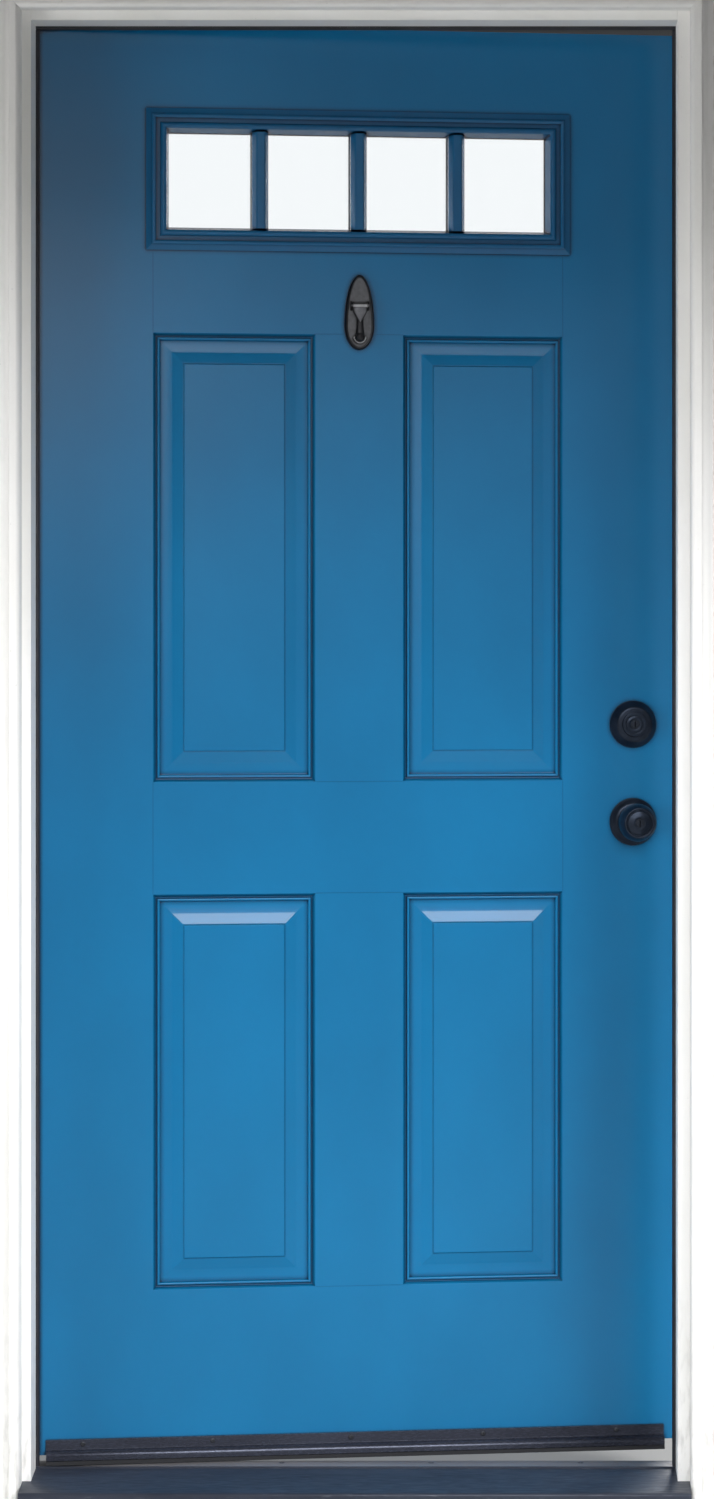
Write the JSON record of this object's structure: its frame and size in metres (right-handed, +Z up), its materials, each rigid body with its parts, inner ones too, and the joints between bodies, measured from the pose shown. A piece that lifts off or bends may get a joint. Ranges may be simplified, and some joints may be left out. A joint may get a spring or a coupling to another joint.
{
  "type": "front door with frame",
  "caption": "Inward-opening panelled front door, hung ajar in its cased frame, with glazed lights, knocker, knob, deadbolt, sweep and sill.",
  "frame": {"origin": "middle of the opening, on the underside of the sill, at the outdoor edge plane of the jambs", "axes": "+Z up, +Y inward through the wall, +X towards the lock side"},
  "size_m": [1.0263, 0.3631, 2.1145],
  "materials": {
    "white_paint": "satin exterior paint on timber",
    "sill_core": "moulded composite",
    "dark_tread": "dark anodised, slightly worn",
    "grey_threshold": "mill finish, dulled",
    "seal_skin": "soft vinyl skin over foam",
    "blue_skin": "brushed satin paint on moulded fibreglass",
    "blue_lite_frame": "brushed satin paint on moulded plastic",
    "stile_timber": "painted edge timber",
    "core_timber": "bare softwood",
    "foam": "rigid foam",
    "clear_glass": "clear float glass",
    "spacer_metal": "mill finish",
    "sweep_metal": "dark anodised",
    "sweep_rubber": "flexible vinyl",
    "hinge_metal": "dark plated",
    "knocker_iron": "dark cast iron",
    "lock_bronze": "near-black rubbed bronze plating",
    "lock_steel": "satin plated"
  },
  "bodies": {
    "frame": {"hinge_jamb": "white_paint", "strike_jamb": "white_paint", "head_jamb": "white_paint", "hinge_side_brickmould": "white_paint", "strike_side_brickmould": "white_paint", "head_brickmould": "white_paint", "sill_base": "sill_core", "sill_tread": "dark_tread", "threshold_cap": "grey_threshold", "hinge_side_weatherstrip": "seal_skin", "strike_side_weatherstrip": "seal_skin", "head_weatherstrip": "seal_skin", "latch_strike": "lock_bronze", "deadbolt_strike": "lock_bronze", "hinge_frame_leaves": "hinge_metal", "hinge_pins": "hinge_metal"},
    "door": {"outer_skin": "blue_skin", "inner_skin": "blue_skin", "hinge_stile": "stile_timber", "lock_stile": "stile_timber", "lock_block": "core_timber", "top_rail": "stile_timber", "bottom_rail": "stile_timber", "foam_core": "foam", "outer_lite_frame": "blue_lite_frame", "inner_lite_frame": "blue_lite_frame", "outer_pane": "clear_glass", "inner_pane": "clear_glass", "glass_spacer": "spacer_metal", "sweep_carrier": "sweep_metal", "sweep_fin": "sweep_rubber", "hinge_door_leaves": "hinge_metal", "knocker_plate": "knocker_iron", "knocker_pin": "knocker_iron", "deadbolt_outer_collar": "lock_bronze", "deadbolt_inner_plate": "lock_bronze", "deadbolt_case": "lock_steel", "deadbolt_faceplate": "lock_bronze", "knob_outer_rose": "lock_bronze", "knob_inner_rose": "lock_bronze", "latch_case": "lock_steel", "latch_faceplate": "lock_bronze"},
    "knobs": {"outer_knob": "lock_bronze", "inner_knob": "lock_bronze", "knob_spindle": "lock_steel"},
    "knob_key": {"knob_key_plug": "lock_bronze"},
    "turn_button": {"knob_turn_button": "lock_bronze"},
    "latch": {"latch_bolt": "lock_steel"},
    "thumbturn": {"deadbolt_thumbturn": "lock_bronze"},
    "deadbolt": {"deadbolt_bolt": "lock_steel"},
    "deadbolt_key": {"deadbolt_key_plug": "lock_bronze"},
    "striker": {"knocker_striker": "knocker_iron"}
  },
  "joints": [
    {"name": "door_swing", "type": "hinge", "parent": "frame", "child": "door", "pos_m": [-0.4556, 0.1224, 1.05], "axis": [0, 0, 1], "range_deg": [-8.5, 96.5]},
    {"name": "knob_turn", "type": "hinge", "parent": "door", "child": "knobs", "pos_m": [0.38862, 0.2195, 0.9327], "axis": [-0.1478, 0.989, 0], "range_deg": [0, 60], "stiffness_Nm_per_rad": 0.4, "springref_deg": -22.92},
    {"name": "latch_slide", "type": "slide", "parent": "door", "child": "latch", "axis": [0.989, 0.1478, 0], "range_m": [-0.0127, 0]},
    {"name": "knob_key_turn", "type": "hinge", "parent": "knobs", "child": "knob_key", "pos_m": [0.38862, 0.2195, 0.9327], "axis": [-0.1478, 0.989, 0], "range_deg": [0, 90]},
    {"name": "turn_button_turn", "type": "hinge", "parent": "knobs", "child": "turn_button", "pos_m": [0.38862, 0.2195, 0.9327], "axis": [-0.1478, 0.989, 0], "range_deg": [0, 90]},
    {"name": "thumbturn_turn", "type": "hinge", "parent": "door", "child": "thumbturn", "pos_m": [0.38862, 0.2195, 1.072], "axis": [-0.1478, 0.989, 0], "range_deg": [0, 90]},
    {"name": "deadbolt_slide", "type": "slide", "parent": "door", "child": "deadbolt", "axis": [0.989, 0.1478, 0], "range_m": [0, 0.0254]},
    {"name": "deadbolt_key_turn", "type": "hinge", "parent": "door", "child": "deadbolt_key", "pos_m": [0.38862, 0.2195, 1.072], "axis": [-0.1478, 0.989, 0], "range_deg": [0, 90]},
    {"name": "knocker_swing", "type": "hinge", "parent": "door", "child": "striker", "pos_m": [0.00401, 0.12941, 1.665], "axis": [-0.989, -0.1478, 0], "range_deg": [0, 70]}
  ],
  "couplings": [
    {"joint": "latch_slide", "follows": "knob_turn", "m_per_rad": -0.01212},
    {"joint": "deadbolt_slide", "follows": "thumbturn_turn", "m_per_rad": 0.01616},
    {"joint": "deadbolt_key_turn", "follows": "thumbturn_turn", "ratio": 1}
  ]
}
